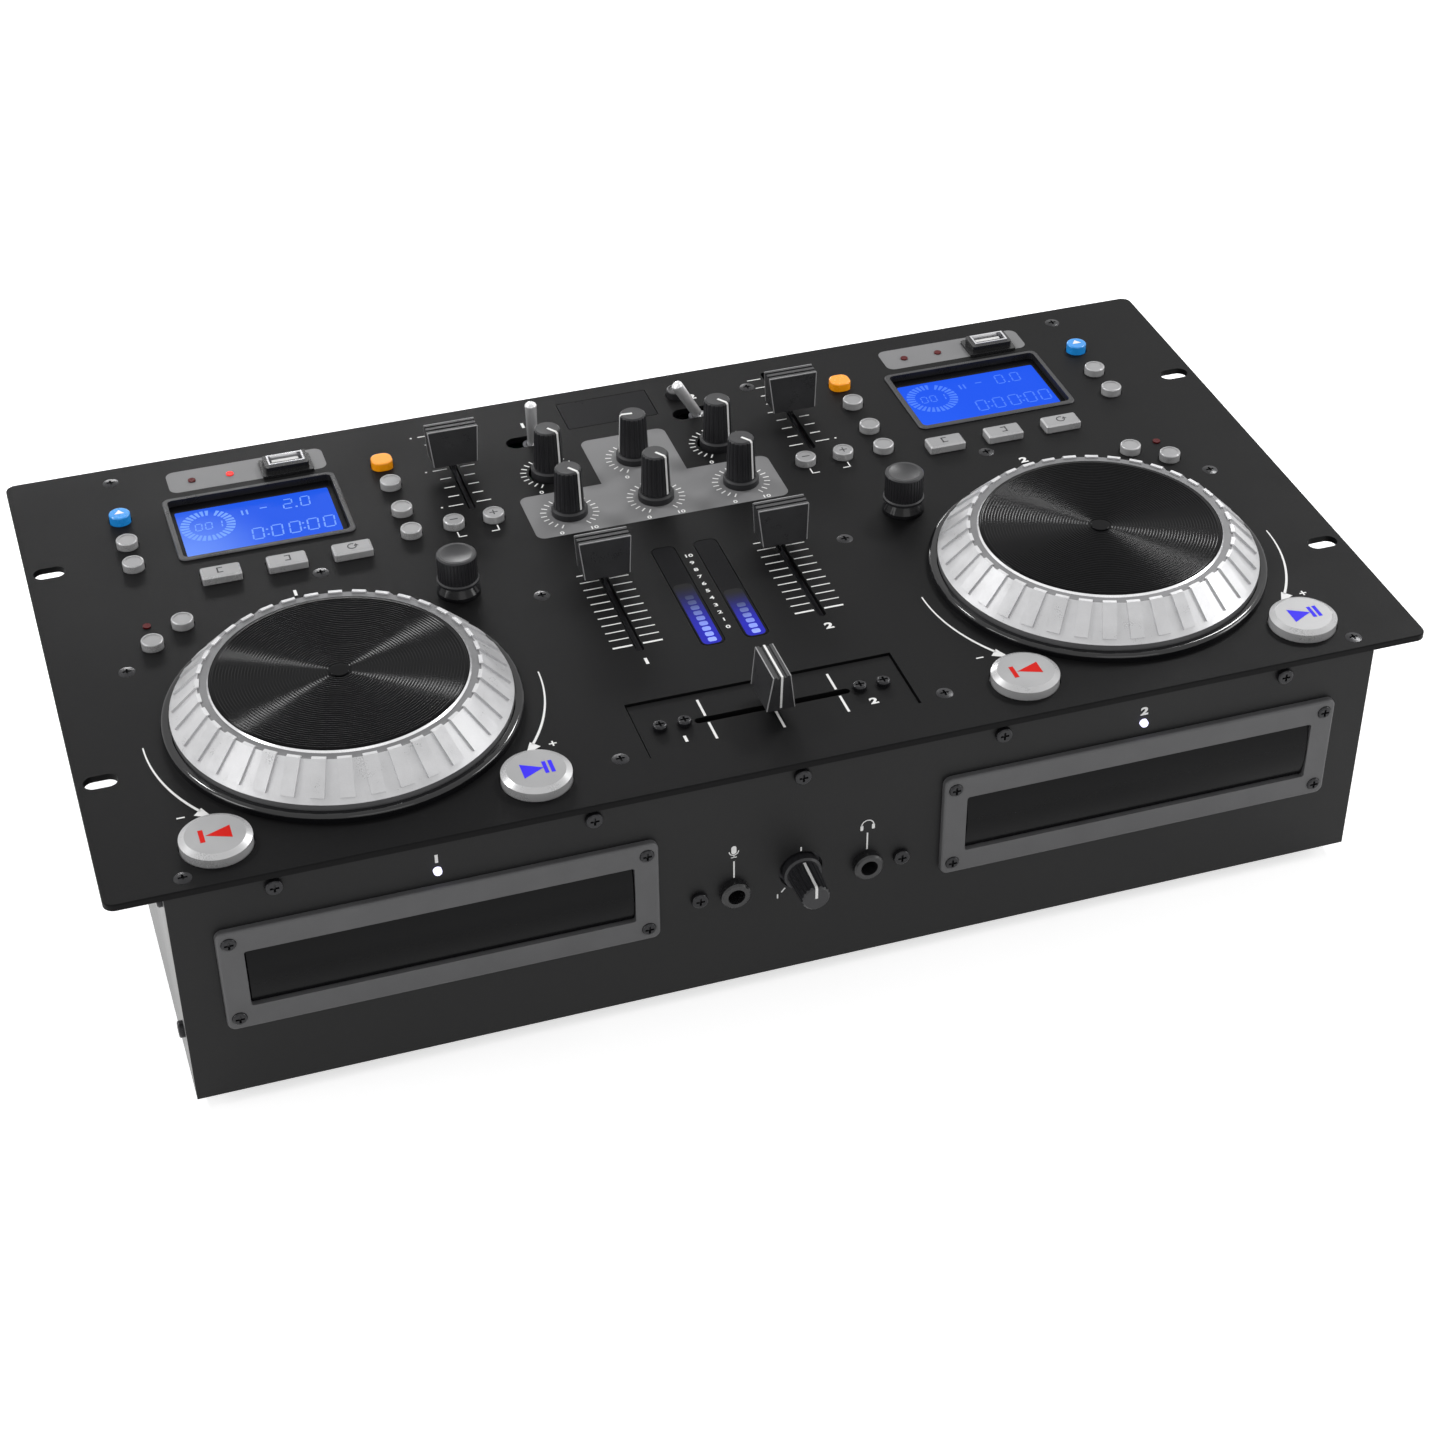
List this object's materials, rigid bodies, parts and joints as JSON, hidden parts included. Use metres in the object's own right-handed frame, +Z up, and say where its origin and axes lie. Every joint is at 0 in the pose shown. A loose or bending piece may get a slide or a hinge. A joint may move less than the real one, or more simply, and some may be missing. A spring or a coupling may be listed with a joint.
{
  "type": "dual disc player console",
  "caption": "Rack-width desktop disc console: jog wheels, displays, faders, rotary knobs and toggle levers on the faceplate, slide-out disc trays in front, sockets behind.",
  "frame": {"origin": "centre of the faceplate's outline in plan, on the surface that the feet stand on", "axes": "+X to the user's right along the faceplate, +Y to the back, +Z up out of the faceplate"},
  "size_m": [0.4826, 0.2898, 0.1233],
  "materials": {
    "faceplate_paint": "fine-textured matte black powder coat",
    "case_paint": "fine-textured matte black powder coat",
    "plate_paint": "fine-textured matte black powder coat",
    "foot_rubber": "matte black rubber",
    "screw_steel": "black zinc-plated steel",
    "bezel_plastic": "fine-grained black",
    "display_frame_plastic": "satin black with a light edge",
    "display_glass": "blue liquid-crystal window",
    "window_plastic": "glossy black acrylic",
    "usb_socket": "black boss with a steel shell",
    "jack_plastic": "black nylon bushing",
    "rear_socket_plastic": "black mouldings, plated contacts",
    "jog_ring_plastic": "high-gloss black",
    "jog_wheel_silver": "silver paint, black top plate",
    "fader_plastic": "satin black",
    "knob_plastic": "satin black with a white pointer",
    "search_knob_plastic": "satin black, knurled",
    "lever_chrome": "polished chrome",
    "loader_plastic": "black moulding",
    "tray_plastic": "satin black",
    "turntable_plastic": "satin black",
    "board_laminate": "green solder mask",
    "supply_parts": "mixed components",
    "control_body": "component housings",
    "lamp_lens": "diffusing lamp lens",
    "rocker_plastic": "glossy black",
    "key_silver": "satin silver",
    "key_dark": "satin black",
    "key_blue": "translucent blue",
    "key_orange": "translucent orange"
  },
  "bodies": {
    "chassis": {"base_pan": "case_paint", "case_screws": "screw_steel", "circuit_boards": "board_laminate", "control_housings": "control_body", "crossfader_plate": "plate_paint", "disc_loaders": "loader_plastic", "display_frames": "display_frame_plastic", "display_screens": "display_glass", "drive_bezels": "bezel_plastic", "feet": "foot_rubber", "front_jacks": "jack_plastic", "front_panel": "case_paint", "indicator_lamps": "lamp_lens", "jog_bases": "jog_ring_plastic", "panel_windows": "window_plastic", "power_supply": "supply_parts", "rear_panel": "case_paint", "rear_sockets": "rear_socket_plastic", "top_panel": "faceplate_paint", "usb_sockets": "usb_socket"},
    "bend_keys_a": {"bend_keys_a": "key_silver"},
    "bend_keys_b": {"bend_keys_b": "key_silver"},
    "channel_fader_cap_a": {"channel_fader_cap_a": "fader_plastic"},
    "channel_fader_cap_b": {"channel_fader_cap_b": "fader_plastic"},
    "crossfader_cap": {"crossfader_cap": "fader_plastic"},
    "cue_key_a": {"cue_key_a": "key_silver"},
    "cue_key_b": {"cue_key_b": "key_silver"},
    "cue_level_knob": {"cue_level_knob": "knob_plastic"},
    "cue_mix_knob": {"cue_mix_knob": "knob_plastic"},
    "disc_tray_a": {"disc_tray_a": "tray_plastic"},
    "disc_tray_b": {"disc_tray_b": "tray_plastic"},
    "eject_key_a": {"eject_key_a": "key_blue"},
    "eject_key_b": {"eject_key_b": "key_blue"},
    "high_knob": {"high_knob": "knob_plastic"},
    "jog_wheel_a": {"jog_wheel_a": "jog_wheel_silver"},
    "jog_wheel_b": {"jog_wheel_b": "jog_wheel_silver"},
    "loop_keys_a": {"loop_keys_a": "key_silver"},
    "loop_keys_b": {"loop_keys_b": "key_silver"},
    "low_knob": {"low_knob": "knob_plastic"},
    "master_knob": {"master_knob": "knob_plastic"},
    "mic_knob": {"mic_knob": "knob_plastic"},
    "mid_knob": {"mid_knob": "knob_plastic"},
    "mode_keys_a": {"mode_keys_a": "key_silver"},
    "mode_keys_b": {"mode_keys_b": "key_silver"},
    "pitch_fader_cap_a": {"pitch_fader_cap_a": "fader_plastic"},
    "pitch_fader_cap_b": {"pitch_fader_cap_b": "fader_plastic"},
    "pitch_key_a": {"pitch_key_a": "key_orange"},
    "pitch_key_b": {"pitch_key_b": "key_orange"},
    "play_key_a": {"play_key_a": "key_silver"},
    "play_key_b": {"play_key_b": "key_silver"},
    "power_rocker": {"power_rocker": "rocker_plastic"},
    "search_knob_a": {"search_knob_a": "search_knob_plastic"},
    "search_knob_b": {"search_knob_b": "search_knob_plastic"},
    "source_lever_a": {"source_lever_a": "lever_chrome"},
    "source_lever_b": {"source_lever_b": "lever_chrome"},
    "sync_key": {"sync_key": "key_dark"},
    "time_keys_a": {"time_keys_a": "key_silver"},
    "time_keys_b": {"time_keys_b": "key_silver"},
    "turntable_a": {"turntable_a": "turntable_plastic"},
    "turntable_b": {"turntable_b": "turntable_plastic"}
  },
  "joints": [
    {"name": "jog_turn_a", "type": "hinge", "parent": "chassis", "child": "jog_wheel_a", "pos_m": [-0.1449, -0.0526, 0.1028], "axis": [0, 0, 1], "continuous": true},
    {"name": "search_turn_a", "type": "hinge", "parent": "chassis", "child": "search_knob_a", "pos_m": [-0.0887, 0.006, 0.1028], "axis": [0, 0, 1], "continuous": true},
    {"name": "disc_spin_a", "type": "hinge", "parent": "chassis", "child": "turntable_a", "pos_m": [-0.1305, -0.0611, 0.04755], "axis": [0, 0, 1], "continuous": true},
    {"name": "channel_fader_slide_a", "type": "slide", "parent": "chassis", "child": "channel_fader_cap_a", "axis": [0, 1, 0], "range_m": [-0.044, 0.0049]},
    {"name": "pitch_fader_slide_a", "type": "slide", "parent": "chassis", "child": "pitch_fader_cap_a", "axis": [0, 1, 0], "range_m": [-0.0269, 0.0269]},
    {"name": "tray_slide_a", "type": "slide", "parent": "chassis", "child": "disc_tray_a", "axis": [0, -1, 0], "range_m": [0, 0.125]},
    {"name": "source_lever_tilt_a", "type": "hinge", "parent": "chassis", "child": "source_lever_a", "pos_m": [-0.03505, 0.1006, 0.1012], "axis": [0, 1, 0], "range_deg": [-30, 30]},
    {"name": "eject_key_press_a", "type": "slide", "parent": "chassis", "child": "eject_key_a", "axis": [0, 0, 1], "range_m": [-0.0006, 0], "stiffness_N_per_m": 1500, "springref_m": 0.0002},
    {"name": "pitch_key_press_a", "type": "slide", "parent": "chassis", "child": "pitch_key_a", "axis": [0, 0, 1], "range_m": [-0.0006, 0], "stiffness_N_per_m": 1500, "springref_m": 0.0002},
    {"name": "loop_keys_press_a", "type": "slide", "parent": "chassis", "child": "loop_keys_a", "axis": [0, 0, 1], "range_m": [-0.0006, 0], "stiffness_N_per_m": 1500, "springref_m": 0.0002},
    {"name": "mode_keys_press_a", "type": "slide", "parent": "chassis", "child": "mode_keys_a", "axis": [0, 0, 1], "range_m": [-0.0006, 0], "stiffness_N_per_m": 1500, "springref_m": 0.0002},
    {"name": "time_keys_press_a", "type": "slide", "parent": "chassis", "child": "time_keys_a", "axis": [0, 0, 1], "range_m": [-0.0006, 0], "stiffness_N_per_m": 1500, "springref_m": 0.0002},
    {"name": "bend_keys_press_a", "type": "slide", "parent": "chassis", "child": "bend_keys_a", "axis": [0, 0, 1], "range_m": [-0.0006, 0], "stiffness_N_per_m": 1500, "springref_m": 0.0002},
    {"name": "play_key_press_a", "type": "slide", "parent": "chassis", "child": "play_key_a", "axis": [0, 0, 1], "range_m": [-0.0008, 0], "stiffness_N_per_m": 1800, "springref_m": 0.0002},
    {"name": "cue_key_press_a", "type": "slide", "parent": "chassis", "child": "cue_key_a", "axis": [0, 0, 1], "range_m": [-0.0008, 0], "stiffness_N_per_m": 1800, "springref_m": 0.0002},
    {"name": "jog_turn_b", "type": "hinge", "parent": "chassis", "child": "jog_wheel_b", "pos_m": [0.1449, -0.0526, 0.1028], "axis": [0, 0, 1], "continuous": true},
    {"name": "search_turn_b", "type": "hinge", "parent": "chassis", "child": "search_knob_b", "pos_m": [0.0887, 0.006, 0.1028], "axis": [0, 0, 1], "continuous": true},
    {"name": "disc_spin_b", "type": "hinge", "parent": "chassis", "child": "turntable_b", "pos_m": [0.1305, -0.0611, 0.04755], "axis": [0, 0, 1], "continuous": true},
    {"name": "channel_fader_slide_b", "type": "slide", "parent": "chassis", "child": "channel_fader_cap_b", "axis": [0, 1, 0], "range_m": [-0.044, 0.0049]},
    {"name": "pitch_fader_slide_b", "type": "slide", "parent": "chassis", "child": "pitch_fader_cap_b", "axis": [0, 1, 0], "range_m": [-0.0236, 0.0302]},
    {"name": "tray_slide_b", "type": "slide", "parent": "chassis", "child": "disc_tray_b", "axis": [0, -1, 0], "range_m": [0, 0.125]},
    {"name": "source_lever_tilt_b", "type": "hinge", "parent": "chassis", "child": "source_lever_b", "pos_m": [0.03505, 0.1006, 0.1012], "axis": [0, 1, 0], "range_deg": [0, 60]},
    {"name": "eject_key_press_b", "type": "slide", "parent": "chassis", "child": "eject_key_b", "axis": [0, 0, 1], "range_m": [-0.0006, 0], "stiffness_N_per_m": 1500, "springref_m": 0.0002},
    {"name": "pitch_key_press_b", "type": "slide", "parent": "chassis", "child": "pitch_key_b", "axis": [0, 0, 1], "range_m": [-0.0006, 0], "stiffness_N_per_m": 1500, "springref_m": 0.0002},
    {"name": "loop_keys_press_b", "type": "slide", "parent": "chassis", "child": "loop_keys_b", "axis": [0, 0, 1], "range_m": [-0.0006, 0], "stiffness_N_per_m": 1500, "springref_m": 0.0002},
    {"name": "mode_keys_press_b", "type": "slide", "parent": "chassis", "child": "mode_keys_b", "axis": [0, 0, 1], "range_m": [-0.0006, 0], "stiffness_N_per_m": 1500, "springref_m": 0.0002},
    {"name": "time_keys_press_b", "type": "slide", "parent": "chassis", "child": "time_keys_b", "axis": [0, 0, 1], "range_m": [-0.0006, 0], "stiffness_N_per_m": 1500, "springref_m": 0.0002},
    {"name": "bend_keys_press_b", "type": "slide", "parent": "chassis", "child": "bend_keys_b", "axis": [0, 0, 1], "range_m": [-0.0006, 0], "stiffness_N_per_m": 1500, "springref_m": 0.0002},
    {"name": "play_key_press_b", "type": "slide", "parent": "chassis", "child": "play_key_b", "axis": [0, 0, 1], "range_m": [-0.0008, 0], "stiffness_N_per_m": 1800, "springref_m": 0.0002},
    {"name": "cue_key_press_b", "type": "slide", "parent": "chassis", "child": "cue_key_b", "axis": [0, 0, 1], "range_m": [-0.0008, 0], "stiffness_N_per_m": 1800, "springref_m": 0.0002},
    {"name": "sync_key_press", "type": "slide", "parent": "chassis", "child": "sync_key", "axis": [0, 0, 1], "range_m": [-0.0006, 0], "stiffness_N_per_m": 1500, "springref_m": 0.0002},
    {"name": "crossfader_slide", "type": "slide", "parent": "chassis", "child": "crossfader_cap", "axis": [1, 0, 0], "range_m": [-0.0245, 0.0245]},
    {"name": "mic_knob_turn", "type": "hinge", "parent": "chassis", "child": "mic_knob", "pos_m": [-0.03505, 0.0751, 0.1028], "axis": [0, 0, 1], "range_deg": [-5, 295]},
    {"name": "master_knob_turn", "type": "hinge", "parent": "chassis", "child": "master_knob", "pos_m": [0, 0.0751, 0.1028], "axis": [0, 0, 1], "range_deg": [-234, 66]},
    {"name": "cue_level_knob_turn", "type": "hinge", "parent": "chassis", "child": "cue_level_knob", "pos_m": [0.03505, 0.0751, 0.1028], "axis": [0, 0, 1], "range_deg": [-5, 295]},
    {"name": "low_knob_turn", "type": "hinge", "parent": "chassis", "child": "low_knob", "pos_m": [-0.03505, 0.0447, 0.1028], "axis": [0, 0, 1], "range_deg": [-5, 295]},
    {"name": "mid_knob_turn", "type": "hinge", "parent": "chassis", "child": "mid_knob", "pos_m": [0, 0.0447, 0.1028], "axis": [0, 0, 1], "range_deg": [-5, 295]},
    {"name": "high_knob_turn", "type": "hinge", "parent": "chassis", "child": "high_knob", "pos_m": [0.03505, 0.0447, 0.1028], "axis": [0, 0, 1], "range_deg": [-5, 295]},
    {"name": "cue_mix_knob_turn", "type": "hinge", "parent": "chassis", "child": "cue_mix_knob", "pos_m": [0, -0.1294, 0.0515], "axis": [0, -1, 0], "range_deg": [-150, 150]},
    {"name": "power_rocker_tilt", "type": "hinge", "parent": "chassis", "child": "power_rocker", "pos_m": [0.14, 0.1269, 0.042], "axis": [1, 0, 0], "range_deg": [-20, 0]}
  ]
}
